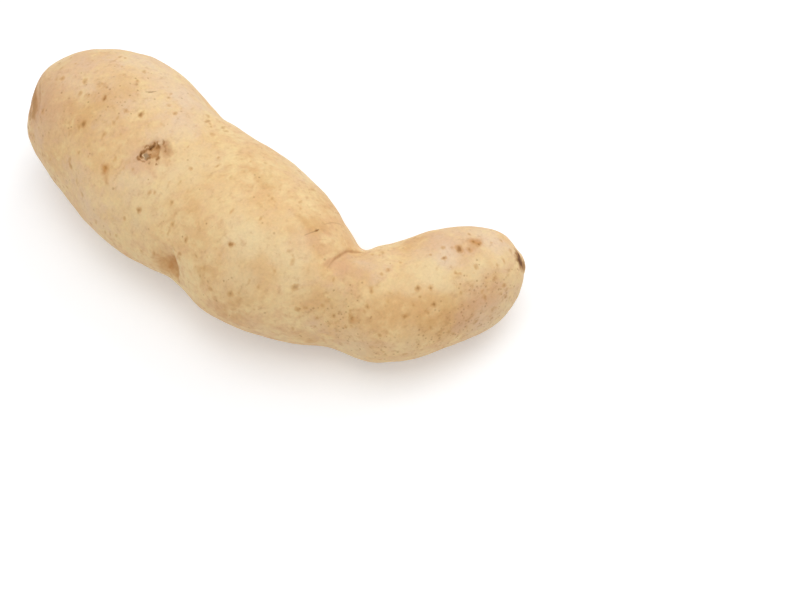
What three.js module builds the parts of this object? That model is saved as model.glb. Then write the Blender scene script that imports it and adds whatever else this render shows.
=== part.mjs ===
// A fingerling potato: one long, knobbly tuber with a fat head at its stem end,
// a waist behind it, and a finger that bends off at an elbow to its rose end.
// Millimetres, +Z up. The tuber lies on its side as it would on a table, with its
// length along +X, and the origin is the bottom centre of its bounding box.

import * as THREE from 'three';
import { mergeVertices } from 'three/addons/utils/BufferGeometryUtils.js';

// The tuber is swept through upright oval sections, from the stem end to the rose end.
// centre is the middle of a section and heading the way the tuber runs there, in degrees
// from +X. The first and last sections are points, so each end closes as a dome.
const sections = [
  { centre: [-55.3, 14.2, 17.5], heading: -10, halfWidth: 0.0, halfHeight: 0.0 },
  { centre: [-53.9, 14.5, 17.5], heading: -12, halfWidth: 7.0, halfHeight: 8.0 },
  { centre: [-50.4, 15.0, 17.5], heading: -16, halfWidth: 12.0, halfHeight: 12.5 },
  { centre: [-45.2, 14.0, 17.5], heading: -23, halfWidth: 15.7, halfHeight: 16.0 },
  { centre: [-37.2, 10.2, 17.5], heading: -31, halfWidth: 18.5, halfHeight: 17.4 },
  { centre: [-28.0, 2.0, 17.5], heading: -38, halfWidth: 20.0, halfHeight: 17.5 },
  { centre: [-18.0, -7.0, 16.9], heading: -40, halfWidth: 18.4, halfHeight: 16.1 },
  { centre: [-8.0, -15.4, 17.2], heading: -40, halfWidth: 18.6, halfHeight: 16.9 },
  { centre: [1.0, -23.5, 17.0], heading: -38, halfWidth: 18.0, halfHeight: 17.0 },
  { centre: [9.5, -29.4, 16.0], heading: -31, halfWidth: 13.8, halfHeight: 15.8 },
  { centre: [17.0, -32.3, 14.8], heading: -17, halfWidth: 10.6, halfHeight: 14.0 },
  { centre: [23.5, -33.2, 13.8], heading: 0, halfWidth: 12.3, halfHeight: 13.2 },
  { centre: [30.0, -31.7, 13.0], heading: 12, halfWidth: 12.8, halfHeight: 13.0 },
  { centre: [38.0, -28.0, 12.8], heading: 17, halfWidth: 12.5, halfHeight: 12.8 },
  { centre: [45.0, -25.4, 12.6], heading: 18, halfWidth: 11.2, halfHeight: 12.0 },
  { centre: [51.0, -23.1, 12.6], heading: 18, halfWidth: 8.0, halfHeight: 9.2 },
  { centre: [54.7, -22.0, 12.8], heading: 18, halfWidth: 0.0, halfHeight: 0.0 },
];

// Soft swells and dents in the skin. along counts sections and around is the angle about
// the section in degrees: 0 is the left side, 90 the top, 180 the right side.
const swells = [
  // left side: head, waist and body
  { along: 2.5, around: 40, radius: 4.5, height: -0.6 },
  { along: 4.2, around: 28, radius: 4.0, height: 0.3 },
  { along: 5.3, around: 22, radius: 4.5, height: -2.3 },
  { along: 6.9, around: 22, radius: 5.0, height: 0.5 },
  { along: 8.0, around: 14, radius: 4.0, height: -0.3 },
  { along: 9.2, around: 18, radius: 3.5, height: 0.3 },
  // right side: head, cheek, notch and elbow
  { along: 2.6, around: 188, radius: 4.0, height: -0.7 },
  { along: 4.3, around: 193, radius: 4.0, height: 0.4 },
  { along: 5.6, around: 205, radius: 6.0, height: 1.2 },
  { along: 6.7, around: 203, radius: 2.6, height: -0.7 },
  { along: 6.75, around: 172, radius: 2.6, height: -1.1 },
  { along: 9.7, around: 210, radius: 3.0, height: -0.4 },
  { along: 10.5, around: 212, radius: 4.0, height: 0.4 },
  { along: 15.2, around: 180, radius: 3.0, height: -0.4 },
  // scarred eye
  { along: 5.55, around: 104, radius: 2.6, height: -0.6 },
  // crease at the inside of the elbow
  { along: 10.0, around: 58, radius: 2.2, height: -1.2 },
  { along: 9.7, around: 78, radius: 2.2, height: -0.9 },
  { along: 9.45, around: 94, radius: 2.2, height: -0.5 },
  // stem end
  { along: 0.8, around: 110, radius: 5.0, height: -0.6 },
  { along: 1.6, around: 62, radius: 4.0, height: 0.6 },
  // sunken eyes on the left and underneath
  { along: 3.9, around: 345, radius: 2.6, height: -1.0 },
  { along: 7.9, around: 335, radius: 2.4, height: -0.9 },
  { along: 12.4, around: 325, radius: 2.2, height: -0.8 },
  { along: 6.3, around: 265, radius: 2.4, height: -0.9 },
  { along: 10.6, around: 245, radius: 2.2, height: -0.8 },
];

// The skin is this much lower where the tuber's own weight presses it on the table.
const pressedDepth = 0.35;

// Faces: rings from end to end, and steps around each ring.
const ringCount = 70;
const stepsAround = 52;

const skinColour = 0xdcb98a;
const skinRoughness = 0.6;

// Smooth curve through evenly spaced values, read at a place between them.
function curveThrough(values, place) {
  const last = values.length - 1;
  const index = Math.min(Math.floor(place), last - 1);
  const t = place - index;
  const slope = (i) => (values[Math.min(i + 1, last)] - values[Math.max(i - 1, 0)])
    / (Math.min(i + 1, last) - Math.max(i - 1, 0));
  return (2 * t ** 3 - 3 * t ** 2 + 1) * values[index]
    + (t ** 3 - 2 * t ** 2 + t) * slope(index)
    + (3 * t ** 2 - 2 * t ** 3) * values[index + 1]
    + (t ** 3 - t ** 2) * slope(index + 1);
}

const centreX = sections.map((section) => section.centre[0]);
const centreY = sections.map((section) => section.centre[1]);
const centreZ = sections.map((section) => section.centre[2]);
const heading = sections.map((section) => section.heading);
// The squares of the half sizes run smoothly into a point, which makes a round end.
const widthSquared = sections.map((section) => section.halfWidth ** 2);
const heightSquared = sections.map((section) => section.halfHeight ** 2);

// The spot on the plain sweep, and the way out of the tuber there.
function sweepPoint(along, around) {
  const centre = new THREE.Vector3(
    curveThrough(centreX, along),
    curveThrough(centreY, along),
    curveThrough(centreZ, along),
  );
  const turn = THREE.MathUtils.degToRad(curveThrough(heading, along));
  const angle = THREE.MathUtils.degToRad(around);
  const halfWidth = Math.sqrt(Math.max(curveThrough(widthSquared, along), 0));
  const halfHeight = Math.sqrt(Math.max(curveThrough(heightSquared, along), 0));
  const reach = new THREE.Vector3(
    -Math.sin(turn) * halfWidth * Math.cos(angle),
    Math.cos(turn) * halfWidth * Math.cos(angle),
    halfHeight * Math.sin(angle),
  );
  return { point: centre.add(reach), outward: reach.clone().normalize() };
}

const swellCentres = swells.map((swell) => sweepPoint(swell.along, swell.around).point);

// The sweep with its swells and dents, each one a bell curve of the distance to its centre.
function skinPoint(along, around) {
  const { point, outward } = sweepPoint(along, around);
  let height = 0;
  swells.forEach((swell, index) => {
    const distance = point.distanceTo(swellCentres[index]);
    height += swell.height * Math.exp(-(distance ** 2) / (2 * swell.radius ** 2));
  });
  return point.addScaledVector(outward, height);
}

// Rings are closer together near the two points, so that the domes stay round.
function easedAlong(fraction) {
  const last = sections.length - 1;
  const place = fraction * last;
  if (place < 1) {
    return place ** 2;
  }
  if (place > last - 1) {
    return last - (last - place) ** 2;
  }
  return place;
}

// A sphere's grid is laid over the sweep: pole to pole is along, and round it is around.
function tuberGeometry() {
  const geometry = new THREE.SphereGeometry(1, stepsAround, ringCount);
  const position = geometry.getAttribute('position');
  const grid = geometry.getAttribute('uv');
  for (let i = 0; i < position.count; i += 1) {
    const along = easedAlong(1 - grid.getY(i));
    const around = 360 * (1 - grid.getX(i));
    const point = skinPoint(along, around);
    position.setXYZ(i, point.x, point.y, Math.max(point.z, pressedDepth));
  }
  geometry.deleteAttribute('normal');
  geometry.deleteAttribute('uv');
  const closed = mergeVertices(geometry, 1e-4);
  closed.computeBoundingBox();
  const { min, max } = closed.boundingBox;
  closed.translate(-(min.x + max.x) / 2, -(min.y + max.y) / 2, -min.z);
  closed.computeVertexNormals();
  return closed;
}

const skinMaterial = new THREE.MeshStandardMaterial({
  color: skinColour,
  roughness: skinRoughness,
  metalness: 0,
});

const tuber = new THREE.Mesh(tuberGeometry(), skinMaterial);
tuber.name = 'tuber';

const potato = new THREE.Group();
potato.add(tuber);

export default potato;
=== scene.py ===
# A washed raw fingerling potato on a pale floor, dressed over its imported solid.
# One skin mesh carries the tuber's shape, its scar, crease, notch and spots, and one
# material colours it. Lengths in the dictionaries are millimetres unless they say metres.
import math

import bpy
import numpy as np
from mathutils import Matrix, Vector


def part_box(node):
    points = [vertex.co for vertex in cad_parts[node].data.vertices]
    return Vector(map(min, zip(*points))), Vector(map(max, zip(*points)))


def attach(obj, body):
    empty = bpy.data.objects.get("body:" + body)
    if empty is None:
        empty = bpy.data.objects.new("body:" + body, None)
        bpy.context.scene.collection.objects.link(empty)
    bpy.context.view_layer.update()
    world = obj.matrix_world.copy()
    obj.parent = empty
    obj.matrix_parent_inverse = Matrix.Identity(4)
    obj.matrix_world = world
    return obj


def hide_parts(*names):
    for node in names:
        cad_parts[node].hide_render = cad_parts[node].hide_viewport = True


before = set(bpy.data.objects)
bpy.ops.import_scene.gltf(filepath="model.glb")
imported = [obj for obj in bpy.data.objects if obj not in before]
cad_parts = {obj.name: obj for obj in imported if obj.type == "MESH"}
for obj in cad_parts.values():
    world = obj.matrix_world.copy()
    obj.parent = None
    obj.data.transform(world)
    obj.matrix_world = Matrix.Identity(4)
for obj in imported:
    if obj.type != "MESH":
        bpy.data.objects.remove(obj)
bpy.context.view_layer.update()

metresPerMm = 0.001
tiny = 1e-9  # keeps a length that something is divided by off zero
cadLow, cadHigh = [np.array(corner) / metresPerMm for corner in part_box("tuber")]
print("frame loaded, CAD box in mm:", np.round(cadLow, 1), np.round(cadHigh, 1))


# The sections, the swells and the pressed depth are the solid's own.
tuberShape = {
    # centre x, y, z, heading in degrees from +X, half width and half height of each section
    "sections": [
        (-55.3, 14.2, 17.5, -10, 0, 0),
        (-53.9, 14.5, 17.5, -12, 7, 8),
        (-50.4, 15, 17.5, -16, 12, 12.5),
        (-45.2, 14, 17.5, -23, 15.7, 16),
        (-37.2, 10.2, 17.5, -31, 18.5, 17.4),
        (-28, 2, 17.5, -38, 20, 17.5),
        (-18, -7, 16.9, -40, 18.4, 16.1),
        (-8, -15.4, 17.2, -40, 18.6, 16.9),
        (1, -23.5, 17, -38, 18, 17),
        (9.5, -29.4, 16, -31, 13.8, 15.8),
        (17, -32.3, 14.8, -17, 10.6, 14),
        (23.5, -33.2, 13.8, 0, 12.3, 13.2),
        (30, -31.7, 13, 12, 12.8, 13),
        (38, -28, 12.8, 17, 12.5, 12.8),
        (45, -25.4, 12.6, 18, 11.2, 12),
        (51, -23.1, 12.6, 18, 8, 9.2),
        (54.7, -22, 12.8, 18, 0, 0),
    ],
    # soft swells and dents: along in sections, around in degrees, radius, height
    "swells": [
        # left side: head, waist and body
        (2.5, 40, 4.5, -0.6), (4.2, 28, 4, 0.3), (5.3, 22, 4.5, -2.3), (6.9, 22, 5, 0.5),
        (8, 14, 4, -0.3), (9.2, 18, 3.5, 0.3),
        # right side: head, cheek, notch and elbow
        (2.6, 188, 4, -0.7), (4.3, 193, 4, 0.4), (5.6, 205, 6, 1.2), (6.7, 203, 2.6, -0.7),
        (6.75, 172, 2.6, -1.1), (9.7, 210, 3, -0.4), (10.5, 212, 4, 0.4), (15.2, 180, 3, -0.4),
        # scarred eye, then the elbow crease
        (5.55, 104, 2.6, -0.6), (10, 58, 2.2, -1.2), (9.7, 78, 2.2, -0.9), (9.45, 94, 2.2, -0.5),
        # stem end
        (0.8, 110, 5, -0.6), (1.6, 62, 4, 0.6),
        # sunken eyes, left and underneath
        (3.9, 345, 2.6, -1), (7.9, 335, 2.4, -0.9), (12.4, 325, 2.2, -0.8), (6.3, 265, 2.4, -0.9),
        (10.6, 245, 2.2, -0.8),
    ],
    # fuller skin on the finished surface, in the same four numbers
    "fullness": [
        (1.7, 84, 3.4, 1), (0.7, 160, 3.4, 0.35),  # beside the stem scar
        (3.6, 42, 2.8, 0.35), (5.2, 6, 2.6, 0.3),  # left outline of head and waist
        (7.5, 188, 3, 0.6),  # right outline past the notch
        (10.1, 34, 2, -0.6),  # corner of the elbow
    ],
    # fine relief all over: height, size and seed of each noise
    "relief": [(0.2, 18, 3), (0.05, 6, 4), (0.018, 2.2, 5)],
    "pressedDepth": 0.35,  # skin pressed flat where the tuber rests
    "rings": 326,  # between the two ends
    "steps": 290,  # round each ring
    "ringSamples": 3000,  # how finely the skin is measured to space the rings,
    "stepSamples": 2000,  # and a ring to space its steps
    # rings stand closer together here: along, spread and how much closer
    "closeRings": [(5.55, 0.35, 1.3), (9.8, 0.5, 0.4), (6.9, 0.2, 0.6), (15.6, 0.3, 0.5)],
    "closeSteps": (110, 0.5),  # steps are closest at this angle
}


# Lengths of vectors, and the vectors at length 1.
def lengthOf(vectors):
    return np.linalg.norm(vectors, axis=-1)


def unit(vectors):
    return vectors / np.maximum(lengthOf(vectors)[..., None], tiny)


# A smooth curve through evenly spaced values: between each two, the cubic whose end
# slopes are those of the chords from one neighbour to the other.
def curveThrough(values, place):
    values = np.asarray(values, float)
    slope = np.gradient(values)
    index = np.clip(np.floor(place).astype(int), 0, len(values) - 2)
    t = place - index
    return (
        (2 * t**3 - 3 * t**2 + 1) * values[index]
        + (t**3 - 2 * t**2 + t) * slope[index]
        + (3 * t**2 - 2 * t**3) * values[index + 1]
        + (t**3 - t**2) * slope[index + 1]
    )


# The plain sweep: the section's centre, plus half width times cosine of the angle to the
# left and half height times its sine upwards. The squares of the half sizes follow the
# curve, so that both ends close as domes.
def sweepPoint(along, around):
    columns = np.array(tuberShape["sections"], float).T
    along, around = np.broadcast_arrays(np.asarray(along, float), np.radians(around))
    x, y, z, heading = [curveThrough(column, along) for column in columns[:4]]
    halfWidth, halfHeight = [
        np.sqrt(np.maximum(curveThrough(column**2, along), 0)) for column in columns[4:]
    ]
    heading = np.radians(heading)
    reach = np.stack([
        -np.sin(heading) * halfWidth * np.cos(around),
        np.cos(heading) * halfWidth * np.cos(around),
        halfHeight * np.sin(around),
    ], axis=-1)
    return np.stack([x, y, z], axis=-1) + reach, reach


# Bell curves round centres, added up: height times e to the minus half the square of
# distance over radius. Place turns a bell's along and around into its centre.
def bellSum(points, bells, place):
    total = np.zeros(points.shape[:-1])
    for along, around, radius, height in bells:
        distance = lengthOf(points - place(along, around))
        total += height * np.exp(-0.5 * (distance / radius) ** 2)
    return total


# The sweep moved outwards by the sum of the swells, whose centres are on the sweep.
def skinPoint(along, around):
    point, reach = sweepPoint(along, around)
    height = bellSum(point, tuberShape["swells"], lambda *place: sweepPoint(*place)[0])
    return point + unit(reach) * height[..., None]


# So many places that the same share of the gaps' sum lies between each two: the running
# sum of the gaps is read backwards at even steps.
def evenPlaces(fine, gaps, count):
    travelled = np.concatenate([[0], np.cumsum(gaps)])
    return np.interp(np.linspace(0, travelled[-1], count), travelled, fine)


# Rings evenly spaced by the distance that the skin covers between them on four sides, and
# closer together where the fine detail is: there it counts for 1 plus gain times a bell
# curve. Places near the two points are squared, so the domes stay round.
def ringPlaces():
    last = len(tuberShape["sections"]) - 1
    fine = np.linspace(0, last, tuberShape["ringSamples"])
    fine = np.where(fine < 1, fine**2, fine)
    fine = np.where(fine > last - 1, last - (last - fine) ** 2, fine)
    lines = skinPoint(fine[:, None], np.array([0, 90, 180, 270]))
    gaps = lengthOf(np.diff(lines, axis=0)).mean(axis=1)
    middle = (fine[1:] + fine[:-1]) / 2
    for place, spread, gain in tuberShape["closeRings"]:
        gaps *= 1 + gain * np.exp(-(((middle - place) / spread) ** 2))
    return evenPlaces(fine, gaps, tuberShape["rings"] + 2)[1:-1]  # without the two points


# Steps round a ring, closer together by gain times the cosine of the angle to centre.
def stepAngles():
    centre, gain = tuberShape["closeSteps"]
    fine = np.linspace(0, 360, tuberShape["stepSamples"])
    gaps = 1 + gain * np.cos(np.radians((fine[1:] + fine[:-1]) / 2 - centre))
    return evenPlaces(fine, gaps, tuberShape["steps"] + 1)[:-1]  # the last is the first


# The way round the tuber at each grid point, from the step before it to the step after.
def wayRound(points):
    return np.roll(points, -1, axis=1) - np.roll(points, 1, axis=1)


# The outward direction at each grid point: the way round crossed with the way along.
def gridNormals(points):
    return unit(np.cross(wayRound(points), np.gradient(points, axis=0)))


# Smooth noise of one size: a sum of plane waves in seeded directions, each 0.7 to 1.5 times
# the size long, about plus or minus 1.
def waveNoise(points, size, seed, waves=28, lengths=(0.7, 1.5)):
    draw = np.random.default_rng(seed)
    direction = unit(draw.normal(size=(waves, 3)))
    length = size * draw.uniform(*lengths, waves)
    phase = draw.uniform(0, 2 * math.pi, waves)
    total = np.zeros(points.shape[:-1])
    for way, waveLength, shift in zip(direction, length, phase):
        total += np.cos(points @ way * (2 * math.pi / waveLength) + shift)
    return total / math.sqrt(waves)


# creases are lines of painted shade; splits are real, save the painted shade under the notch's lip
thinMarks = ("creaseShade", "splitAndShade")  # hair-thin lines, drawn thinner than the grid

# Places on the skin are along, in sections, and around, in degrees. A stroke is a line of
# such places with a radius: its closeness is 1 on the line and falls evenly to 0 there.
skinMarks = {
    # lenticels that stand out: along, around, radius, strength
    "spots": [
        (4.25, 98, 0.85, 0.85), (4.15, 120, 0.95, 0.85), (4.98, 90, 0.85, 0.95), (4.97, 87, 0.5, 0.45),
        (3.67, 103, 0.65, 0.5), (3.95, 93, 0.55, 0.5), (4, 90, 0.5, 0.45), (4.13, 91, 0.5, 0.45),
        (4.48, 72, 0.6, 0.55), (5.04, 66, 0.6, 0.55), (5.34, 73, 0.6, 0.6), (4.7, 102, 0.7, 0.45),
        (5.48, 121, 0.55, 0.45), (6.21, 96, 0.6, 0.55), (5.91, 142, 0.75, 0.9),
        (6.34, 123, 0.65, 0.65), (7.71, 122, 0.7, 1), (7.81, 115, 0.5, 0.4), (6.91, 152, 0.6, 0.65),
        (7.23, 144, 0.6, 0.55), (5.98, 63, 0.95, 0.4), (7.71, 160, 0.7, 0.6), (8.08, 154, 1, 0.55),
        (8.22, 150, 0.55, 0.45), (8.29, 138, 0.5, 0.4), (9.08, 130, 0.95, 0.6),
        (9.25, 149, 0.75, 0.65), (9.38, 146, 0.55, 0.55), (9.68, 140, 0.6, 0.55),
        (9.95, 149, 0.7, 0.7), (10.32, 141, 0.55, 0.55), (10.41, 140, 0.5, 0.5),
        (10.71, 126, 0.7, 0.65), (10.36, 153, 0.55, 0.45), (10.23, 156, 0.55, 0.45),
        (8.83, 110, 1, 0.35), (11.32, 86, 0.6, 0.55), (11.78, 78, 0.55, 0.45), (11.32, 109, 0.55, 0.5),
        (11.68, 134, 0.65, 0.7), (12.12, 110, 0.75, 0.75), (11.18, 122, 0.5, 0.4),
        (13.4, 86, 1.05, 0.95), (13.95, 81, 0.65, 0.8), (14.08, 84, 0.6, 0.8), (13.7, 90, 0.65, 0.65),
        (12.92, 91, 0.65, 0.8), (13.72, 110, 0.7, 0.55), (13.1, 109, 0.5, 0.55),
        (13.19, 112, 0.5, 0.55), (12.4, 114, 0.7, 0.7), (12.4, 130, 0.75, 0.8), (12.23, 135, 0.6, 0.6),
        (11.94, 125, 0.5, 0.45), (12.23, 151, 0.65, 0.55), (12.44, 160, 0.55, 0.55),
        (12.67, 160, 0.55, 0.55), (13.12, 161, 0.55, 0.5), (13.76, 144, 0.55, 0.55),
        (14.27, 149, 0.55, 0.55), (14.47, 142, 0.65, 0.6), (10.32, 136, 0.55, 0.45),
        (10.36, 144, 0.9, 0.55), (11.6, 180, 0.6, 0.65), (11.87, 184, 0.55, 0.55),
        (14.63, 108, 0.5, 0.35), (14.47, 84, 0.5, 0.35), (2.53, 126, 0.8, 0.55),
    ],
    "spotStretch": 0.25,  # how much shorter the way round a lenticel counts
    "pitDepth": 0.06,  # of a lenticel of strength 1
    # lenticels strewn all over, each with a radius, strength and stretch in a range
    "strewnSpots": {
        "count": 420, "radius": (0.35, 0.75), "strength": (0.2, 0.6), "stretch": (0.1, 0.55),
        "seed": 11,
    },
    # broad tints: along, around, radius, strength
    "ochreAndShade": [
        (4.1, 111, 5.5, 0.6), (3.8, 96, 4, 0.15), (7.3, 69, 3, 0.7), (8.7, 76, 3, 0.45),
        (8.3, 36, 4, 0.4), (6.6, 130, 3.5, 0.4), (8.3, 121, 2.8, 0.15), (8.2, 156, 3.5, 0.5),
        (9.9, 90, 3, 0.5), (11.1, 113, 1.4, 0.35), (10.9, 133, 3.6, 0.25), (10.5, 143, 2.2, 0.3),
        (10.1, 128, 2.4, 0.4), (9.3, 146, 3, 0.3), (11.7, 124, 4, 0.6), (12.6, 145, 3.8, 0.7),
        (11.9, 154, 2, 0.5), (14.4, 134, 3, 0.5), (6.3, 154, 4, 0.2), (5.7, 142, 3.5, 0.3),
        (3, 240, 9, 0.6), (8.5, 270, 10, 0.7), (12.5, 250, 7, 0.6), (6, 330, 8, 0.5),
        (10.6, 320, 6, 0.5), (2.5, 30, 6, 0.4), (4.5, 88, 3.2, 0.7), (10.7, 93, 2.6, 0.5),
        # those at 175 to 190 degrees on this line and the next are painted shade along the lower edge
        (8.4, 147, 2.6, 0.4), (9.4, 185, 3.5, 0.5), (12.7, 148, 3, 0.4), (11.9, 89, 2.4, 0.5),
        (8.65, 74, 2.4, 0.6), (9.65, 140, 2.6, 0.6), (8.1, 175, 2.6, 0.3), (9.8, 190, 3, 0.2),
        (8.13, 123, 2.2, 0.4), (10.63, 66, 2.4, 0.7), (6.26, 126, 1.6, 0.5), (7.44, 154, 2, 0.5),
        (14.6, 166, 2.6, 0.3), (12.3, 52, 3.5, 0.6), (6.8, 80, 2.4, 0.5), (7.53, 153, 2.2, 0.3),
        (12.96, 107, 2, 0.4),
    ],
    "pale": [
        (12.5, 92, 3.2, 0.9), (12.8, 112, 2.6, 0.6), (14.7, 94, 3, 0.5), (6.2, 84, 4.5, 0.5),
        (7.4, 103, 3, 0.5), (6.1, 102, 3.2, 0.5), (8, 108, 2.6, 0.5), (8.6, 112, 2.6, 0.5),
        (8.1, 142, 4, 0.7), (8.1, 88, 2.4, 0.4), (4.9, 76, 3.5, 0.5), (13.8, 112, 2.2, 0.7),
        (11.8, 107, 3, 0.6), (10.5, 176, 3.5, 0.6), (14.3, 203, 4, 0.6), (7.3, 24, 5, 0.5),
        (5.5, 138, 4, 0.4), (11, 98, 2.6, 0.3), (6.1, 121, 4, 0.4), (11.7, 168, 3.5, 0.5),
        (13.7, 185, 4, 0.4), (5, 300, 8, 0.5), (11, 290, 7, 0.5), (8, 220, 7, 0.4), (2, 330, 6, 0.4),
        (8.7, 97, 3, 0.6), (7.8, 117, 3, 0.7), (6, 152, 3.5, 0.6), (14.3, 157, 2.6, 0.6),
        (10.4, 179, 3.2, 0.6), (13.5, 125, 2.6, 0.5), (13.4, 172, 3, 0.5), (9.1, 112, 3, 0.4),
        (8.6, 174, 2.6, 0.3), (6.9, 99, 2.4, 0.3), (9.1, 127, 2.4, 0.4), (9.9, 140, 2.2, 0.4),
    ],
    "pink": [
        (1.6, 100, 4, 0.7), (2.4, 130, 4, 0.6), (2.9, 74, 5, 0.5), (3.4, 130, 5, 0.4),
        (5.45, 116, 1.8, 0.8), (5.1, 112, 3, 0.4), (10.8, 170, 3.5, 0.5), (13.5, 146, 3.6, 0.9),
        (13.2, 163, 3.2, 0.7), (14.2, 148, 3, 0.5), (8.7, 88, 2.5, 0.4), (8.8, 176, 4.5, 0.4),
        (10.1, 176, 3.5, 0.4), (15.2, 100, 2.5, 0.5), (13.5, 230, 6, 0.6), (1, 250, 7, 0.6),
        (9, 225, 6, 0.4), (4, 200, 6, 0.4), (15.3, 300, 5, 0.5), (13.4, 82, 1.8, 0.7),
        (10.2, 96, 3, 0.5), (7.9, 178, 4, 0.4), (11.9, 184, 3, 0.4), (13.74, 93, 1.5, 0.6),
        (12.9, 64, 3.5, 0.5), (5.68, 110, 2.8, 0.9), (5.02, 95, 2, 0.4), (5.8, 91, 2, 0.35),
        (9, 78, 2.5, 0.5), (9.7, 88, 2.5, 0.4), (13, 75, 2.6, 0.65), (14.5, 88, 2.8, 0.5),
        (3.1, 108, 4, 0.3), (3.3, 72, 4, 0.3), (9.66, 92, 2, 0.4),
    ],
    # dry, whitish skin, and painted sheen near the upper outline of head and finger, where the back
    # light grazes
    "bloomAndSheen": [
        (4.3, 50, 5, 0.65), (5, 55, 4, 0.5), (5.7, 73, 3.2, 0.6), (5.4, 84, 2.6, 0.5),
        (3.6, 66, 5, 0.3), (4.65, 94, 2.4, 0.4), (2.8, 94, 4, 0.2), (4.2, 92, 3, 0.3),
        (4.5, 112, 2.5, 0.4), (5.5, 126, 3, 0.5), (12.7, 68, 3, 0.4), (11.4, 66, 3.5, 0.2),
        (13.4, 64, 3.5, 0.35), (14.3, 62, 3.5, 0.5), (14.7, 90, 3, 0.3), (10.7, 78, 3, 0.5),
        (9.9, 118, 3, 0.3), (4.4, 156, 5, 0.4), (5.2, 168, 5, 0.5), (9.6, 165, 3, 0.4),
        (6, 350, 7, 0.5), (2, 300, 6, 0.5), (5.3, 54, 3.5, 0.6), (4.86, 83, 3, 0.3),
        (13.2, 94, 2.4, 0.45), (5.4, 100, 3, 0.4), (7.7, 40, 3, 0.4), (3.7, 98, 2.4, 0.3),
        (2.4, 148, 3.5, 0.4), (13.6, 172, 3.5, 0.5), (14.7, 152, 3, 0.4), (14.6, 96, 2.6, 0.35),
        (3.2, 84, 4, 0.25), (12.96, 91, 1.8, 0.4),
    ],
    # how thick the pin-prick pores stand
    "freckled": [
        (4.1, 92, 4.5, 0.3), (4.5, 87, 3, 0.2), (13.7, 147, 3.6, 1), (13.2, 158, 3.2, 1),
        (14.3, 144, 3, 0.8), (12.7, 164, 3, 0.9), (12.2, 160, 3, 0.8), (10.2, 138, 3, 0.6),
        (10, 158, 4, 0.7), (3.7, 117, 4, 0.3), (7.7, 160, 3, 0.4), (11.1, 168, 3.5, 0.6),
        (13.6, 220, 7, 0.9), (1.2, 230, 7, 0.7), (6, 250, 9, 0.4), (11.5, 330, 6, 0.5),
    ],
    # orange round spots and blotch, brown painted shade in the notch, and painted shade at the lower
    # edge at 184 degrees
    "blushAndShade": [
        (13.97, 82, 1.4, 0.8), (13.4, 85, 1, 0.3), (6.72, 175, 2.2, 0.45), (6.62, 178, 3.2, 0.35),
        (4.13, 122, 1, 0.4), (8.2, 158, 3, 0.25), (8.1, 184, 2.8, 0.4), (7.71, 122, 1.1, 0.3),
        (10.36, 144, 1.2, 0.4), (4.98, 88, 1, 0.35),
    ],
    # the edges of marks and tints wander by smooth noise: its size, amount and seed
    "markWander": (1.6, 0.16, 21),
    "tintWander": (5, 0.9, 31),
    # the scarred eye, its strokes in millimetres across the tuber towards its left side and
    # back towards its stem end: mark, radius, strength, height, points
    "scarredEye": (5.56, 104),
    "scarStrokes": [
        # shallow crater with a pinkish, corky surround
        ("halo", 3.6, 0.65, -0.3, [(-1.4, 0.6), (0.2, 0.6), (1.4, 0.2)]),
        ("halo", 2.4, 0.85, 0, [(2.6, -1), (2.4, -2.2)]),
        ("halo", 1.6, 0.6, 0.1, [(-3, 1.4), (-2.8, 0.4)]),
        ("halo", 1.4, 0.6, 0.05, [(0, 2.4), (1.4, 1.4)]),
        # torn, corky floor
        ("cork", 1, 0.8, -0.14, [(0.4, 0.6), (0.9, 0.5), (1.7, 0.3)]),
        ("cork", 1.1, 0.75, -0.12, [(0, 0.1), (0.9, -0.3), (1.6, 0)]),
        ("cork", 1, 0.8, -0.1, [(-0.6, -0.4), (0.1, -0.9), (0.7, -0.8)]),
        ("crackAndShade", 0.45, 0.4, -0.15, [(1.7, 0.25), (2, 0.2)]),
        # the split along its upper edge, darkest in the middle
        ("crackAndShade", 0.5, 0.85, -0.25, [(-2.2, 1.6), (-1.9, 1.85), (-1.5, 1.95), (-0.9, 1.9)]),
        ("crackAndShade", 0.42, 0.42, -0.15, [(-0.9, 1.9), (-0.3, 1.55), (0.2, 1.3)]),
        ("crackAndShade", 0.6, 0.95, -0.35, [(0.4, 1.1), (0.9, 1.25), (1.4, 1.15)]),
        ("crackAndShade", 0.42, 0.42, -0.12, [(1.4, 1.15), (1.8, 0.95), (2.2, 0.7)]),
        ("crackAndShade", 0.5, 0.42, -0.12, [(2.05, 0.3), (2.1, 0)]),
        ("crackAndShade", 0.4, 0.45, -0.06, [(-0.2, 2.3), (0.2, 2.2), (0.6, 1.9)]),
        # the older, browner rim at its left
        ("crackAndShade", 0.45, 0.6, -0.1, [(-2.6, 2.1), (-2.85, 1.8), (-3, 1.4)]),
        ("crackAndShade", 0.5, 0.55, -0.1, [(-3, 0.8), (-2.9, 0.5), (-2.6, 0.2)]),
        # grey scab with a dark lower rim
        ("scab", 1.25, 1, 0.3, [(-1.4, 0.6), (-1.25, 0.75)]),
        ("crackAndShade", 0.45, 0.5, -0.1, [(-2, 0.1), (-1.5, -0.05)]),
        ("crackAndShade", 0.45, 0.7, -0.08, [(-1.4, -0.15), (-1.1, -0.05)]),
        ("crackAndShade", 0.4, 0.45, -0.05, [(-0.55, 0.5), (-0.4, 0.5)]),
        ("crackAndShade", 0.5, 0.58, -0.15, [(-0.3, -1.4), (0, -1.5)]),
        ("crackAndShade", 0.45, 0.55, -0.06, [(-1.45, -2.2), (-1.3, -2.2)]),
        ("crackAndShade", 0.4, 0.35, -0.04, [(-2.2, -0.8), (-2, -0.8)]),
        ("crackAndShade", 0.45, 0.38, -0.05, [(3.5, 0.4), (3.3, -0.1), (2.9, -0.4)]),
        ("crackAndShade", 0.45, 0.3, -0.05, [(2.6, -1), (2.1, -1.9)]),
        # pale flakes of lifted skin
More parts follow.
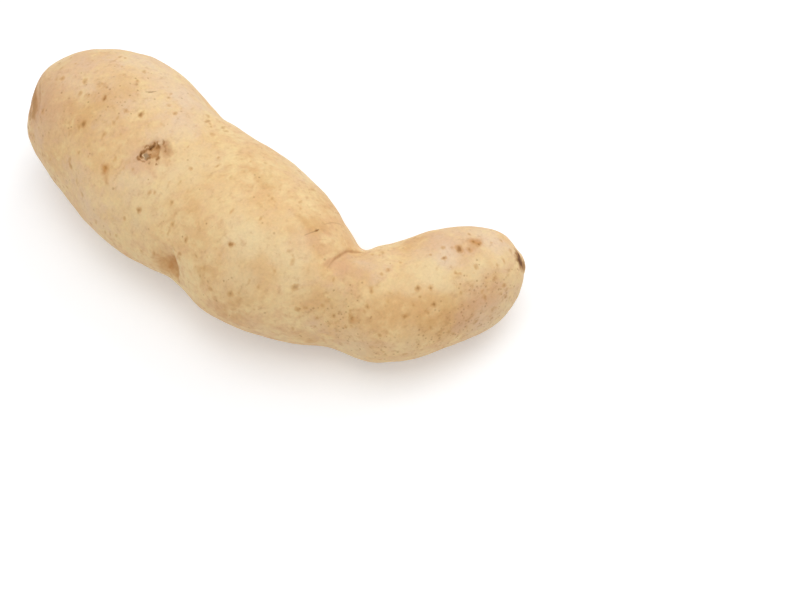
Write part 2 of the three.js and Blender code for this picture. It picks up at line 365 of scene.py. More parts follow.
        ("flake", 0.38, 0.85, 0.12, [(2.4, 0.55), (2.7, 0.4)]),
        ("flake", 0.35, 0.6, 0.08, [(0.1, 1.85), (0.35, 1.7)]),
        ("flake", 0.35, 0.6, 0.08, [(-2, 1), (-1.8, 1.4), (-1.3, 1.5)]),
        ("flake", 0.5, 0.5, 0.08, [(-2.7, 1.15), (-2.4, 0.95)]),
    ],
    # strokes given by places on the skin: mark, radius, strength, height, places
    "strokes": [
        # orange blotch with its tail and dark grain
        ("blushAndShade", 1.6, 0.85, 0, [(5.03, 131.5), (5.06, 134)]),
        ("blushAndShade", 1.1, 0.55, 0, [(5.08, 134), (5.12, 137), (5.2, 140)]),
        ("spots", 0.6, 0.6, -0.04, [(5.02, 131), (5.05, 132)]),
        # long spots on the right of the head
        ("spots", 0.6, 0.5, -0.04, [(4.15, 147), (4.25, 152)]),
        ("spots", 0.6, 0.35, -0.04, [(6.72, 150), (6.82, 152)]),
        # the notch: brown painted shade in the pit under its lip
        ("blushAndShade", 2.6, 0.85, 0, [(6.76, 167), (6.82, 173), (6.86, 181)]),
        ("blushAndShade", 1.4, 1, 0, [(6.84, 163), (6.88, 168), (6.9, 174)]),
        ("crackAndShade", 0.9, 0.2, 0, [(6.85, 165), (6.88, 170), (6.9, 176)]),
        # scar at the rose end
        ("cork", 2.6, 0.8, 0, [(15.56, 108), (15.6, 120), (15.72, 132)]),
        ("crackAndShade", 2.6, 0.62, 0, [(15.58, 110), (15.62, 124)]),
        ("crackAndShade", 1.2, 1.2, -0.06, [(15.62, 104), (15.62, 107)]),
        ("crackAndShade", 1.6, 1.3, -0.06, [(15.5, 116), (15.62, 125)]),
        ("crackAndShade", 1.6, 0.5, 0, [(15.8, 134), (15.84, 142)]),
        ("flake", 0.6, 0.45, 0.04, [(15.62, 113), (15.68, 120)]),
        ("flake", 2.8, 0.3, 0.4, [(15.93, 96), (15.94, 110), (15.94, 132)]),
        # corky scar at the stem end, with the hole of the stolon in it
        ("cork", 5, 0.33, -0.1, [(0.9, 90), (1, 108), (1.2, 130)]),
        ("cork", 2.6, 0.75, 0, [(1.2, 90), (1.4, 106), (1.58, 120), (1.66, 129)]),
        ("cork", 2.4, 0.55, 0, [(0.6, 92), (0.9, 112), (1.2, 132)]),
        ("blushAndShade", 2.6, 0.65, 0, [(1.3, 88), (1.5, 106)]),
        ("blushAndShade", 2.2, 0.5, 0, [(1.6, 106), (1.82, 126)]),
        ("crackAndShade", 1.5, 0.9, -0.7, [(0.5, 100), (0.55, 108)]),
        ("crackAndShade", 0.5, 0.35, -0.05, [(0.7, 60), (1.2, 66)]),
        ("crackAndShade", 0.5, 0.35, -0.05, [(0.8, 150), (1.5, 158)]),
    ],
    # hair-thin lines: mark, radius, height, places as along, around and strength there
    "lines": [
        # elbow crease, darkened along its fold with painted shade
        ("creaseShade", 0.75, -0.16, [
            (10.25, 46, 0.6), (10, 50, 0.9), (9.88, 54, 1), (9.78, 61, 0.85), (9.7, 70, 0.75),
            (9.64, 78, 0.9), (9.58, 86, 0.8), (9.55, 93, 0.65), (9.53, 100, 0.5), (9.52, 106, 0.1),
        ]),
        # faint wrinkles between the split and the elbow, darkened with painted shade
        ("creaseShade", 0.6, -0.05, [
            (8.82, 66, 0.2), (8.85, 60, 0.6), (8.9, 51, 0.7), (9.02, 40, 0.65), (9.18, 32, 0.3),
        ]),
        ("creaseShade", 0.5, -0.03, [(8.9, 87, 0.2), (9, 81, 0.55), (9.12, 76, 0.6), (9.3, 71, 0.2)]),
        # split on the body, dark at its far end
        ("splitAndShade", 0.7, -0.12, [
            (8.7, 90, 0.25), (8.72, 85, 0.55), (8.77, 80, 0.6), (8.81, 76, 0.65), (8.84, 73.5, 0.9),
            (8.85, 71.5, 0.7),
        ]),
        # split on the head
        ("splitAndShade", 0.7, -0.08, [(4.68, 77, 0.2), (4.72, 75, 0.6), (4.78, 72, 0.75), (4.82, 69, 0.6)]),
        # a line of painted shade under the lip of the notch
        ("splitAndShade", 0.9, 0, [
            (6.8, 156, 0.2), (6.83, 160, 0.6), (6.86, 164, 0.8), (6.885, 169, 0.85), (6.9, 174, 0.7),
            (6.91, 181, 0.1),
        ]),
        # right edge of the stem scar, darkened along its fold with painted shade
        ("creaseShade", 1.2, -0.1, [
            (1.62, 88, 0.3), (1.78, 97, 0.6), (1.9, 107, 0.7), (2.03, 117, 0.6), (2.12, 130, 0.5),
            (2.1, 140, 0.2),
        ]),
        ("creaseShade", 0.9, -0.05, [(1.5, 110, 0.2), (1.75, 120, 0.4), (1.95, 133, 0.3)]),
    ],
    "lineFade": (1.2, 0.4),  # radii from the line at which it is gone, over which it fades
    # ledges: the skin drops by depth at the line and comes back over the run, on the right
    # of the line as it goes, seen from outside: depth, run, places
    "ledges": [
        (0.5, 3, [(9.5, 106), (9.53, 98), (9.58, 86), (9.7, 70), (9.83, 56), (10, 49), (10.35, 40)]),
        (0.3, 1.2, [(8.73, 85), (8.78, 79), (8.85, 72)]),
        (0.2, 1, [(4.68, 77), (4.77, 72), (4.82, 69)]),
        (1.5, 2.6, [(6.73, 150), (6.79, 157), (6.84, 163), (6.885, 171), (6.905, 179), (6.92, 186)]),
    ],
    # how softly a ledge drops, how it tapers to its ends, how far past them it lasts
    "ledgeSoftness": 0.18,
    "ledgeTaper": 0.7,
    "ledgeOverrun": 0.8,
    # the eyes on the sides that face away
    "hiddenEyes": {
        # along, around, length of the brow
        "places": [
            (3.9, 345, 5), (7.9, 335, 4.5), (12.4, 325, 4), (6.3, 265, 4.5), (10.6, 245, 3.6),
        ],
        # the tint is brown painted shade in the eye's hollow
        "tint": (2.6, 0.5),  # radius and strength
        # the brow, across as a share of its length and back in millimetres
        "brow": [(-0.5, 0.9), (-0.2, 0.1), (0.2, 0), (0.5, 0.7)],
        "browLedge": (0.8, 1.6),  # depth and run
        # the crack along the brow is painted shade under it
        "browCrack": (0.6, 0.45),  # radius and strength
        "bud": [(-0.4, 1.3), (0.4, 1.3)],
        "budRise": (1, 0.3),  # radius and height
        "budCork": (1.2, 0.5),  # radius and strength
    },
}


# Millimetres on the skin beside a place, across towards the left side and back towards the
# stem end, turned to places: each is divided by how far the skin moves for one degree or
# for one section.
def localPath(along, around, points):
    nudge = 0.02  # of a section
    forward = (skinPoint(along + nudge, around) - skinPoint(along - nudge, around)) / (2 * nudge)
    sideways = (skinPoint(along, around + 1) - skinPoint(along, around - 1)) / 2
    perSection, perDegree = lengthOf(forward), lengthOf(sideways)
    return [(along - back / perSection, around - across / perDegree) for across, back in points]


# A line on the skin through places, with so many points from each place to the next. Any
# further numbers of a place run evenly along it too.
def lineThrough(path, pointsPerSpan):
    path = np.array(path, float)
    spans = np.arange(len(path))
    fine = np.linspace(0, len(path) - 1, pointsPerSpan * (len(path) - 1))
    along, around, *others = [np.interp(fine, spans, column) for column in path.T]
    return skinPoint(along, around), others


# True for the grid points within a sphere round the line and margin more.
def nearLine(points, line, margin):
    middle = line.mean(axis=0)
    return lengthOf(points - middle) < lengthOf(line - middle).max() + margin


# Which of the line's points is nearest to each of some skin points, how far off to the
# left of the line it lies there, and how far past the line's point along its way.
def lineOffsets(points, normals, line):
    offset = points[:, None] - line[None]
    nearest = lengthOf(offset).argmin(axis=1)
    offset = offset[np.arange(len(nearest)), nearest]
    way = unit(np.gradient(line, axis=0))[nearest]
    left = (offset * np.cross(normals, way)).sum(axis=1)
    return nearest, left, np.abs((offset * way).sum(axis=1))


# Closeness to a stroke: 1 minus the distance to its line over the radius, and at least 0.
def strokeCloseness(points, path, radius):
    line, _ = lineThrough(path, pointsPerSpan=12)
    near = nearLine(points, line, radius)
    closeness = np.zeros(points.shape[:-1])
    if near.any():
        gaps = lengthOf(points[near][:, None] - line[None]).min(axis=1)
        closeness[near] = np.clip(1 - gaps / radius, 0, 1)
    return closeness


# A ledge: height = -depth * side * e to the minus distance over run, where side runs softly
# from 0 on the high side to 1 on the low side. It tapers as a power of half a sine wave from
# end to end, and past the ends it fades as a bell curve.
def ledgeHeight(points, normals, path, depth, run):
    line, _ = lineThrough(path, pointsPerSpan=24)
    near = nearLine(points, line, 4 * run)  # further off, the skin is all but back
    nearest, left, beyond = lineOffsets(points[near], normals[near], line)
    farthest = 30  # keeps the power of e in range
    side = 1 / (1 + np.exp(np.clip(left / skinMarks["ledgeSoftness"], -farthest, farthest)))
    fade = np.sin(np.pi * np.clip(nearest / (len(line) - 1), 0, 1)) ** skinMarks["ledgeTaper"]
    fade *= np.exp(-((beyond / skinMarks["ledgeOverrun"]) ** 2))
    height = np.zeros(points.shape[:-1])
    height[near] = -depth * fade * side * np.exp(-np.maximum(-left, 0) / run)
    return height


# A hair-thin line: side = distance to its left over radius, which runs straight through 0 at
# the line, so the material can draw the line thinner than the grid, and hold = its strength,
# faded out past the radius.
def lineField(points, normals, path, radius):
    line, (strength,) = lineThrough(path, pointsPerSpan=30)
    margin = 2 * radius + 2.5  # so that the spheres round the places hold the whole line
    near = np.zeros(points.shape[:-1], bool)
    for place in skinPoint(*np.array(path, float).T[:2]):
        near |= lengthOf(points - place) < margin
    nearest, left, beyond = lineOffsets(points[near], normals[near], line)
    across = left / radius
    gone, fadeLength = skinMarks["lineFade"]
    window = np.clip((gone - np.abs(across)) / fadeLength, 0, 1)
    window *= np.clip(gone - beyond / radius, 0, 1)
    farthest = 1.5  # radii, past which the side no longer counts
    side, hold = np.ones(points.shape[:-1]), np.zeros(points.shape[:-1])
    side[near] = np.clip(across, -farthest, farthest)
    hold[near] = window * strength[nearest]
    return side, hold


# Spots strewn evenly by area: a grid point is drawn with a chance in step with the area of
# its cell.
def strewnSpots(points, settings):
    draw = np.random.default_rng(settings["seed"])
    along = lengthOf(np.gradient(points, axis=0))
    around = lengthOf(np.roll(points, -1, axis=1) - points)
    chance = np.cumsum((along * around).ravel())
    chosen = np.searchsorted(chance / chance[-1], draw.random(settings["count"]))
    radii, strengths, stretches = [
        draw.uniform(*settings[name], settings["count"]) for name in ("radius", "strength", "stretch")
    ]
    return zip(points.reshape(-1, 3)[chosen], radii, strengths, stretches)


# The points moved by up to about amount along seeded smooth noise, so that marks measured
# from the moved points get wandering edges.
def wander(points, size, amount, seed):
    shift = [waveNoise(points, size, seed + axis) for axis in range(3)]
    return points + amount * np.stack(shift, axis=-1)


# The next functions each draw one kind of mark into marks, and add to height how far the
# skin rises there. A stroke's rise is closeness squared times 3 minus twice closeness.
def drawStrokes(wandering, marks, height):
    strokes = list(skinMarks["strokes"])
    for name, radius, strength, rise, path in skinMarks["scarStrokes"]:
        strokes.append((name, radius, strength, rise, localPath(*skinMarks["scarredEye"], path)))
    for name, radius, strength, rise, path in strokes:
        closeness = strokeCloseness(wandering, path, radius)
        marks[name] = np.maximum(marks[name], closeness * strength)
        height += rise * closeness * closeness * (3 - 2 * closeness)


# Where hair-thin lines meet, the stronger one is kept, with its own side.
def drawLines(points, normals, marks, height):
    for name in thinMarks:
        marks[name + "Side"] = np.ones(points.shape[:-1])
    for name, radius, rise, path in skinMarks["lines"]:
        side, hold = lineField(points, normals, path, radius)
        closeness = hold * np.clip(1 - np.abs(side), 0, 1)
        height += rise * closeness
        wins = hold > marks[name]
        marks[name][wins] = hold[wins]
        marks[name + "Side"][wins] = side[wins]


# Lenticels are small pits, longer round the tuber than along it: the part of the offset that
# goes round is made shorter by stretch before the distance is taken.
def drawLenticels(points, wandering, marks, height):
    roundWay = unit(wayRound(points))
    lenticels = [
        (skinPoint(along, around), radius, strength, skinMarks["spotStretch"])
        for along, around, radius, strength in skinMarks["spots"]
    ]
    lenticels += strewnSpots(points, skinMarks["strewnSpots"])
    for centre, radius, strength, stretch in lenticels:
        near = lengthOf(points - centre) < 2.5 * radius  # room for the longest
        offset = wandering[near] - centre
        roundPart = (offset * roundWay[near]).sum(axis=1, keepdims=True) * roundWay[near]
        closeness = np.clip(1 - lengthOf(offset - stretch * roundPart) / radius, 0, 1)
        marks["spots"][near] = np.maximum(marks["spots"][near], closeness * strength)
        height[near] -= skinMarks["pitDepth"] * strength * closeness


# A hidden eye is a brow, which is a short ledge with a crack of painted shade along it, and a corky bud
# beside the brow.
def drawHiddenEyes(points, normals, wandering, marks, height):
    eye = skinMarks["hiddenEyes"]
    for along, around, length in eye["places"]:
        brow = localPath(along, around, [(share * length, back) for share, back in eye["brow"]])
        bud = localPath(along, around, eye["bud"])
        height += ledgeHeight(points, normals, brow, *eye["browLedge"])
        radius, rise = eye["budRise"]
        height += rise * strokeCloseness(wandering, bud, radius)
        for name, path, (radius, strength) in (
            ("crackAndShade", brow, eye["browCrack"]), ("cork", bud, eye["budCork"]),
        ):
            closeness = strokeCloseness(wandering, path, radius)
            marks[name] = np.maximum(marks[name], strength * closeness)


# The grid's points moved along their normals by the sum of the relief, the fuller skin and
# what the marks add, and the marks themselves, one value for each grid point.
def dressGrid(points, normals):
    height = np.zeros(points.shape[:-1])
    for amount, size, seed in tuberShape["relief"]:
        height += amount * waveNoise(points, size, seed)
    height += bellSum(points, tuberShape["fullness"], skinPoint)
    drawn = ("spots", "halo", "cork", "crackAndShade", "scab", "flake", *thinMarks)
    marks = {name: np.zeros(points.shape[:-1]) for name in drawn}
    wandering = wander(points, *skinMarks["markWander"])
    drifting = wander(points, *skinMarks["tintWander"])
    for name in ("ochreAndShade", "pale", "pink", "bloomAndSheen", "freckled"):
        marks[name] = np.clip(bellSum(drifting, skinMarks[name], skinPoint), 0, 1)
    eye = skinMarks["hiddenEyes"]
    # brown painted shade in the hollows of the hidden eyes
    eyeShade = [(along, around, *eye["tint"]) for along, around, _ in eye["places"]]
    blushAndShade = bellSum(wandering, skinMarks["blushAndShade"] + eyeShade, skinPoint)
    marks["blushAndShade"] = np.clip(blushAndShade, 0, 1)
    drawStrokes(wandering, marks, height)
    drawLines(points, normals, marks, height)
    drawLenticels(points, wandering, marks, height)
    for depth, run, path in skinMarks["ledges"]:
        height += ledgeHeight(points, normals, path, depth, run)
    drawHiddenEyes(points, normals, wandering, marks, height)
    return points + normals * height[..., None], marks


# A new object in the scene.
def addObject(name, data):
    added = bpy.data.objects.new(name, data)
    bpy.context.collection.objects.link(added)
    return added


# The skin mesh: the dressed grid, pressed flat underneath, closed with a point at each end,
# and moved so that the plain skin's box has its middle over the CAD solid's, and its
# flat underside at the solid's bottom.
def makeTuber():
    plain = skinPoint(ringPlaces()[:, None], stepAngles()[None, :])
    dressed, marks = dressGrid(plain, gridNormals(plain))
    pressed = tuberShape["pressedDepth"]
    low, high = plain.min(axis=(0, 1)), plain.max(axis=(0, 1))
    shift = (cadLow + cadHigh) / 2 - (low + high) / 2
    shift[2] = cadLow[2] - pressed
    dressed[..., 2] = np.maximum(dressed[..., 2], pressed)
    poles = skinPoint(np.array([0, len(tuberShape["sections"]) - 1]), 90)
    poles += (dressed - plain)[[0, -1]].mean(axis=1)  # they move with the end rings
    points = (np.concatenate([dressed.reshape(-1, 3), poles]) + shift) * metresPerMm

    rings, steps = dressed.shape[:2]
    index = np.arange(rings * steps).reshape(rings, steps)
    after = np.roll(index, -1, axis=1)
    quads = np.stack([index[:-1], after[:-1], after[1:], index[1:]], axis=-1).reshape(-1, 4)
    startPole, endPole = index.size, index.size + 1
    startFan = np.stack([np.full(steps, startPole), after[0], index[0]], axis=-1)
    endFan = np.stack([index[-1], after[-1], np.full(steps, endPole)], axis=-1)
    mesh = bpy.data.meshes.new("tuberSkin")
    mesh.from_pydata(points.tolist(), [], quads.tolist() + startFan.tolist() + endFan.tolist())
    mesh.shade_smooth()
    for name, values in marks.items():
        layer = mesh.attributes.new(name, "FLOAT", "POINT")
        ends = [values[0].mean(), values[-1].mean()]
        layer.data.foreach_set("value", np.concatenate([values.ravel(), ends]).astype(np.float32))
    print("tuber skin made:", len(mesh.polygons), "faces, shift in mm", np.round(shift, 2))
    return addObject("tuberSkin", mesh)


# An sRGB hex colour as linear red, green, blue and alpha.
def linearColour(hexColour):
    levels = [int(hexColour[i : i + 2], 16) / 255 for i in (1, 3, 5)]
    linear = [
        level / 12.92 if level <= 0.04045 else ((level + 0.055) / 1.055) ** 2.4
        for level in levels
    ]
    return (*linear, 1)


# Adds one shader node with its settings, and links or sets its inputs.
def addNode(tree, kind, inputs=None, **settings):
    node = tree.nodes.new("ShaderNode" + kind)
    for name, value in settings.items():
        setattr(node, name, value)
    for name, value in (inputs or {}).items():
        if isinstance(value, bpy.types.NodeSocket):
            tree.links.new(value, node.inputs[name])
        else:
            node.inputs[name].default_value = value
    return node


# An edge is two values of a noise or a mark: what it bounds starts at the first and is full
# at the second. Most is how much of a colour shows at most.
washedSkin = {
    # whether a noise is drawn out round the tuber, its size, detail and distortion
    "noises": {
        "cloud": (False, 14, 3, 0.3),
        "blotch": (True, 2.6, 5, 0.3),
        "fleck": (True, 1.3, 3, 0.2),
        "grain": (False, 0.6, 2, 0),
        "net": (True, 1.7, 2, 1.2),
    },
    "noiseRoughness": 0.58,
    "turn": 0.65,  # radians from the tuber's length to the way that is drawn out
    "stretch": (1.2, 0.92, 1),
    # colour, edge and, where it isn't 1, most: clouds of tan and cream, with peach and straw
    # blotches in them
    "tan": "#E8BF88",
    "cream": ("#F0D19C", (0.35, 0.65)),
    "blotches": [("#EABE8E", (0.48, 0.67), 0.56), ("#F2D8A0", (0.48, 0.31), 0.5)],
    # tint, colour, most
    "tints": [
        # ochre is the skin's own tint, and painted shade along the lower edge
        ("ochreAndShade", "#D8A76B", 0.75),
        ("pale", "#EFD7A9", 0.7),
        ("pink", "#D9AA84", 0.65),
        # bloom is dry skin, and painted sheen along the upper outline
        ("bloomAndSheen", "#ECD3B6", 0.75),
        # blush is orange skin, and brown painted shade in the notch, the eyes and at the lower edge
        ("blushAndShade", "#C07C31", 0.85),
    ],
    "tintEdge": (0.05, 1.05),
    "tintRagged": 0.9,
    "flecks": ("#C9965C", (0.48, 0.76), 0.22),
    "freckledGain": 2.2,  # how many times more they show on freckled skin
    # hair-thin lines, by distance from the noise's middle, where the blotches let them show
    "net": ("#C08C58", (0.04, 0)),
    "netShown": (0.45, 0.6, 0, 0.1),  # blotch noise, and how much shows there
    # spacing, smallest and largest radius, the share of cells with a pore, what freckled skin
    # adds to the share, most
    "pores": [(2.1, 0.15, 0.45, 0.25, 0.5, 0.4), (0.9, 0.18, 0.38, 0.01, 0.75, 0.52)],
    "poreLook": ("#A56E36", (1.1, 0.2)),  # the edge is in radii
    # mark, colour, edge, how ragged its edge is, most
    "marks": [
        ("halo", "#C39060", (0.05, 0.8), 0.6, 0.75),
        ("spots", "#CF9A5C", (0.02, 0.3), 0.2, 0.5),
        ("spots", "#9A672F", (0.22, 0.7), 0.2, 0.75),
        ("cork", "#BC8A56", (0.15, 0.65), 0.8, 0.85),
        # painted shade along the creases
        ("creaseShade", "#BC8756", (0.25, 0.9), 0.3, 0.7),
        ("scab", "#A28767", (0.15, 0.5), 0.2, 0.9),
        # cracks, and painted shade in the notch and under the eyes' brows
        ("crackAndShade", "#9C6A33", (0.05, 0.4), 0.5, 0.75),
        ("crackAndShade", "#65390D", (0.35, 0.85), 0.5, 0.92),
        # splits, and the painted shade under the notch's lip
        ("splitAndShade", "#8A5826", (0.4, 0.8), 0.2, 0.9),
        ("flake", "#F2D2A6", (0.2, 0.6), 0.3, 0.85),
    ],
    "dryMarks": ("cork", "scab", "crackAndShade"),
    "grainShade": (0.25, 0.75, 0.953, 1.047),  # grain noise, darkest and lightest there
    "satin": (0.3, 0.7, 0.5, 0.6),  # blotch noise, roughness there
    "corkRoughness": 0.85,
    "grainRelief": (0.06, 0.7),  # height and strength
    "poreRelief": (0.08, 0.5),
    # light goes 1.5 mm into the flesh, in metres here, and red goes furthest
    "shader": {
        "IOR": 1.45, "Specular IOR Level": 0.2, "Sheen Weight": 0.04, "Sheen Roughness": 0.5,
        "Subsurface Weight": 0.12, "Subsurface Scale": 0.0015, "Subsurface Radius": (1, 0.5, 0.25),
    },
}
rangeEnds = ("From Min", "From Max", "To Min", "To Max")


# Lays a colour over what is there, by a smooth step of the field across the edge, times a
# second field where one is given. Returns the new colour and how much of it was laid.
def layColour(tree, under, field, hexColour, edge, most=1, times=None):
    amount = addNode(tree, "MapRange", {
        "Value": field, **dict(zip(rangeEnds, (*edge, 0, most))),
    }, interpolation_type="SMOOTHSTEP").outputs[0]
    if times is not None:
        amount = addNode(tree, "Math", {0: amount, 1: times}, operation="MULTIPLY").outputs[0]
    mixed = addNode(tree, "Mix", {0: amount, 6: under, 7: linearColour(hexColour)}, data_type="RGBA")
    return mixed.outputs[2], amount


# Lays a colour where a mark is, with a ragged edge: ragged times a noise is added to the
# mark, and ragged times 0.5, the noise's middle, to both ends of the edge.
def layMark(tree, under, mark, noise, hexColour, edge, ragged, most):
    frayed = addNode(tree, "Math", {0: noise, 1: ragged, 2: mark}, operation="MULTIPLY_ADD")
    movedEdge = [end + ragged / 2 for end in edge]
    return layColour(tree, under, frayed.outputs[0], hexColour, movedEdge, most)


# The noises by name: one of scale 1 / size on millimetres has that size. Some are drawn out
# round the tuber, crosswise to its length.
def skinNoises(tree, inMm):
    drawnOut = addNode(tree, "Mapping", {
        "Vector": inMm, "Rotation": (0, 0, washedSkin["turn"]), "Scale": washedSkin["stretch"],
    }, vector_type="TEXTURE").outputs[0]
    return {
        name: addNode(tree, "TexNoise", {
            "Vector": drawnOut if stretched else inMm, "Scale": 1 / size, "Detail": detail,
            "Roughness": washedSkin["noiseRoughness"], "Distortion": distortion,
        }).outputs["Fac"]
        for name, (stretched, size, detail, distortion) in washedSkin["noises"].items()
    }


# Flecks, and a net of hair-thin wandering lines. They run where the distorted noise crosses
# its middle: distance = the noise less one half, without its sign.
def layFlecksAndNet(tree, colour, noises, freckled):
    gain = addNode(tree, "Math", {
        0: freckled, 1: washedSkin["freckledGain"], 2: 1,
    }, operation="MULTIPLY_ADD").outputs[0]
    colour, _ = layColour(tree, colour, noises["fleck"], *washedSkin["flecks"], gain)
    offMiddle = addNode(tree, "Math", {0: noises["net"], 1: 0.5}, operation="SUBTRACT").outputs[0]
    distance = addNode(tree, "Math", {0: offMiddle}, operation="ABSOLUTE").outputs[0]
    shown = addNode(tree, "MapRange", {
        "Value": noises["blotch"], **dict(zip(rangeEnds, washedSkin["netShown"])),
    }, interpolation_type="SMOOTHSTEP").outputs[0]
    return layColour(tree, colour, distance, *washedSkin["net"], times=shown)[0]


# Pin-prick pores: one in some of the cells, round a seeded point, of a seeded size. Returns
# the colour with them, and where they are sunk.
def layPores(tree, colour, inMm, freckled):
    sunk = 0.0
    for spacing, smallest, largest, share, freckledShare, most in washedSkin["pores"]:
        cells = addNode(tree, "TexVoronoi", {"Vector": inMm, "Scale": 1 / spacing})
        chances = addNode(tree, "SeparateColor", {"Color": cells.outputs["Color"]}).outputs
        radius = addNode(tree, "MapRange", {
            "Value": chances["Red"], "To Min": smallest / spacing, "To Max": largest / spacing,
        }).outputs[0]
        reach = addNode(tree, "Math", {0: cells.outputs["Distance"], 1: radius}, operation="DIVIDE")
        shareHere = addNode(tree, "Math", {
            0: freckled, 1: freckledShare, 2: share,
        }, operation="MULTIPLY_ADD").outputs[0]
        kept = addNode(tree, "Math", {0: chances["Green"], 1: shareHere}, operation="LESS_THAN")
        colour, pores = layColour(
            tree, colour, reach.outputs[0], *washedSkin["poreLook"], most, kept.outputs[0]
        )
        sunk = addNode(tree, "Math", {0: sunk, 1: pores}, operation="MAXIMUM").outputs[0]
    return colour, sunk


# Scars, cracks and the larger lenticels, and painted shade along the creases, in the notch
# and under the eyes' brows. Returns the colour with them, and how dry and dull the corky
# ones make the skin.
def layMarks(tree, colour, noise):
    dryness = 0.0
    for name, *look in washedSkin["marks"]:
        mark = addNode(tree, "Attribute", attribute_name=name).outputs["Fac"]
        if name in thinMarks:
            # times 1 minus the distance to the line, which is the side without its sign
            side = addNode(tree, "Attribute", attribute_name=name + "Side").outputs["Fac"]
            off = addNode(tree, "Math", {0: side}, operation="ABSOLUTE").outputs[0]
            close = addNode(tree, "Math", {0: 1, 1: off}, operation="SUBTRACT", use_clamp=True)
            mark = addNode(tree, "Math", {0: mark, 1: close.outputs[0]}, operation="MULTIPLY").outputs[0]
        colour, amount = layMark(tree, colour, mark, noise, *look)
        if name in washedSkin["dryMarks"]:
            dryness = addNode(tree, "Math", {0: dryness, 1: amount}, operation="MAXIMUM").outputs[0]
    return colour, dryness


# Washed potato skin: a thin, satin-matt film over moist flesh, so light comes back soft and
# warm, in tan and cream clouds with peach blotches, pin-prick pores and corky marks.
def makeSkinMaterial():
    material = bpy.data.materials.new("washedPotatoSkin")
    material.use_nodes = True
    tree = material.node_tree
    tree.nodes.clear()
    place = addNode(tree, "TexCoord").outputs["Object"]
    inMm = addNode(tree, "Mapping", {"Vector": place, "Scale": (1 / metresPerMm,) * 3}).outputs[0]
    noises = skinNoises(tree, inMm)

    tan = linearColour(washedSkin["tan"])
    colour, _ = layColour(tree, tan, noises["cloud"], *washedSkin["cream"])
    for look in washedSkin["blotches"]:
        colour, _ = layColour(tree, colour, noises["blotch"], *look)
    edge, ragged = washedSkin["tintEdge"], washedSkin["tintRagged"]
    for name, hexColour, most in washedSkin["tints"]:
        tint = addNode(tree, "Attribute", attribute_name=name).outputs["Fac"]
        colour, _ = layMark(tree, colour, tint, noises["blotch"], hexColour, edge, ragged, most)
    freckled = addNode(tree, "Attribute", attribute_name="freckled").outputs["Fac"]
    colour = layFlecksAndNet(tree, colour, noises, freckled)
    colour, sunk = layPores(tree, colour, inMm, freckled)
    colour, dryness = layMarks(tree, colour, noises["fleck"])

    # the grain lightens and darkens the skin, and the blotches make its satin uneven
    shade, satin = [
        addNode(tree, "MapRange", {
            "Value": noises[noise], **dict(zip(rangeEnds, washedSkin[name])),
        }).outputs[0]
        for noise, name in (("grain", "grainShade"), ("blotch", "satin"))
    ]
    colour = addNode(tree, "VectorMath", {0: colour, "Scale": shade}, operation="SCALE").outputs[0]
    roughness = addNode(tree, "Mix", {0: dryness, 2: satin, 3: washedSkin["corkRoughness"]}).outputs[0]

    # the grain stands up and the pores are sunk
    distance, strength = washedSkin["grainRelief"]
    grainRelief = addNode(tree, "Bump", {
        "Height": noises["grain"], "Distance": distance * metresPerMm, "Strength": strength,
    }).outputs[0]
    distance, strength = washedSkin["poreRelief"]
    relief = addNode(tree, "Bump", {
        "Height": sunk, "Distance": distance * metresPerMm, "Strength": strength, "Normal": grainRelief,
    }, invert=True).outputs[0]
    shader = addNode(tree, "BsdfPrincipled", {
        "Base Color": colour, "Roughness": roughness, "Normal": relief, **washedSkin["shader"],
    })
    addNode(tree, "OutputMaterial", {"Surface": shader.outputs["BSDF"]})
    print("skin material made:", len(tree.nodes), "nodes")
    return material


studio = {
    "floorColour": "#F1F3F6",
    "floorLift": 0.25,  # light of its own, so that it shows white when lit
    "floorSize": 3,  # metres
    "worldStrength": 0.75,  # of the light on the potato
    "backgroundStrength": 1,  # where the world itself is seen
    # name, watts, size and place in metres
    "lamps": [
        ("overheadSoftbox", 3.2, 0.7, (0, 0.01, 1)),
        ("backSoftbox", 1.8, 0.7, (0.5, 0.55, 0.65)),
    ],
}


# 1 for the rays that show the background: to the camera, in gloss and through glass.
def backgroundRays(tree):
    rays = addNode(tree, "LightPath").outputs
    seen = rays["Is Camera Ray"]
    for name in ("Is Glossy Ray", "Is Transmission Ray"):
        seen = addNode(tree, "Math", {0: seen, 1: rays[name]}, operation="MAXIMUM").outputs[0]
    return seen


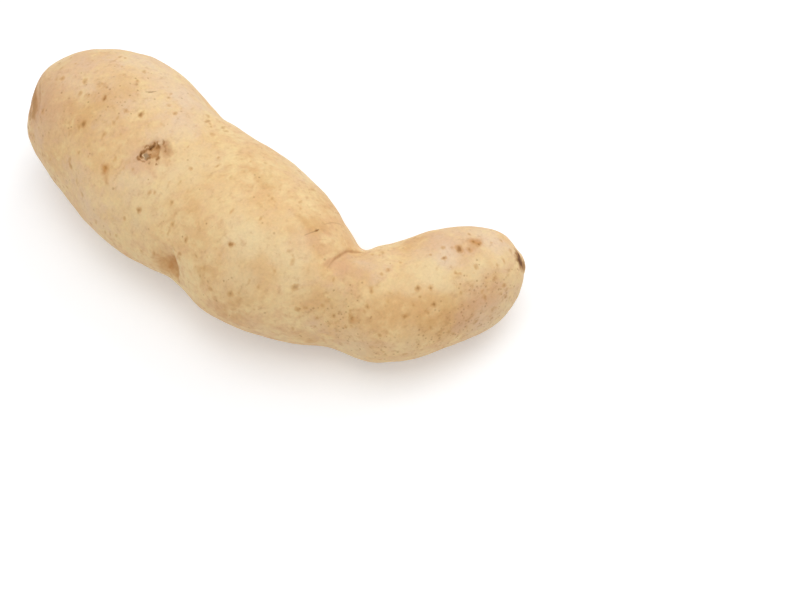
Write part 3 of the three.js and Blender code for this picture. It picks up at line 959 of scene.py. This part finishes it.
# A square floor at height 0: matt, and lifted for the background rays alone, so that it
# keeps the shadow.
def makeFloor():
    half = studio["floorSize"] / 2
    mesh = bpy.data.meshes.new("floor")
    corners = [(-half, -half, 0), (half, -half, 0), (half, half, 0), (-half, half, 0)]
    mesh.from_pydata(corners, [], [(0, 1, 2, 3)])
    material = bpy.data.materials.new("paleStudioFloor")
    material.use_nodes = True
    tree = material.node_tree
    tree.nodes.clear()
    seen = backgroundRays(tree)
    strength = addNode(tree, "Math", {0: seen, 1: studio["floorLift"]}, operation="MULTIPLY")
    matt = addNode(tree, "BsdfDiffuse", {"Color": linearColour(studio["floorColour"])})
    lift = addNode(tree, "Emission", {"Strength": strength.outputs[0]})
    both = addNode(tree, "AddShader", {0: matt.outputs[0], 1: lift.outputs[0]})
    addNode(tree, "OutputMaterial", {"Surface": both.outputs[0]})
    mesh.materials.append(material)
    floor = addObject("floor", mesh)


# Soft light from all round, and two softboxes turned to the origin.
def makeLights():
    world = bpy.data.worlds.new("studioAir")
    world.use_nodes = True
    tree = world.node_tree
    tree.nodes.clear()
    level = addNode(tree, "Mix", {
        0: backgroundRays(tree), 2: studio["worldStrength"], 3: studio["backgroundStrength"],
    })
    air = addNode(tree, "Background", {"Strength": level.outputs[0]})
    addNode(tree, "OutputWorld", {"Surface": air.outputs[0]})
    bpy.context.scene.world = world
    for name, power, size, spot in studio["lamps"]:
        light = bpy.data.lights.new(name, "AREA")
        light.energy, light.size = power, size
        lamp = addObject(name, light)
        lamp.location = spot
        lamp.rotation_euler = (-Vector(spot)).to_track_quat("-Z", "Y").to_euler()


view = {
    "target": (0.0292, -0.0144, -0.0004),  # metres
    "elevation": 60,  # degrees
    "distance": 0.5056,  # metres
    "lens": 100,  # millimetres, as is the sensor
    "sensor": 36,
    "nearest": 0.01,  # metres, nearer than anything in view
}


# The camera stands in front of the target, raised by the elevation, and looks at it.
def makeCamera():
    lens = bpy.data.cameras.new("camera")
    lens.lens = view["lens"]
    lens.sensor_width = view["sensor"]
    lens.clip_start = view["nearest"]
    camera = addObject("camera", lens)
    raised = math.radians(view["elevation"])
    back = Vector((0, -math.cos(raised), math.sin(raised)))
    camera.location = Vector(view["target"]) + back * view["distance"]
    camera.rotation_euler = (math.radians(90) - raised, 0, 0)
    bpy.context.scene.camera = camera


bpy.context.scene.view_settings.view_transform = "Standard"
makeCamera()
makeFloor()
makeLights()
print("camera and studio made")
tuber = makeTuber()
tuber.data.materials.append(makeSkinMaterial())
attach(tuber, "root")
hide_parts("tuber")
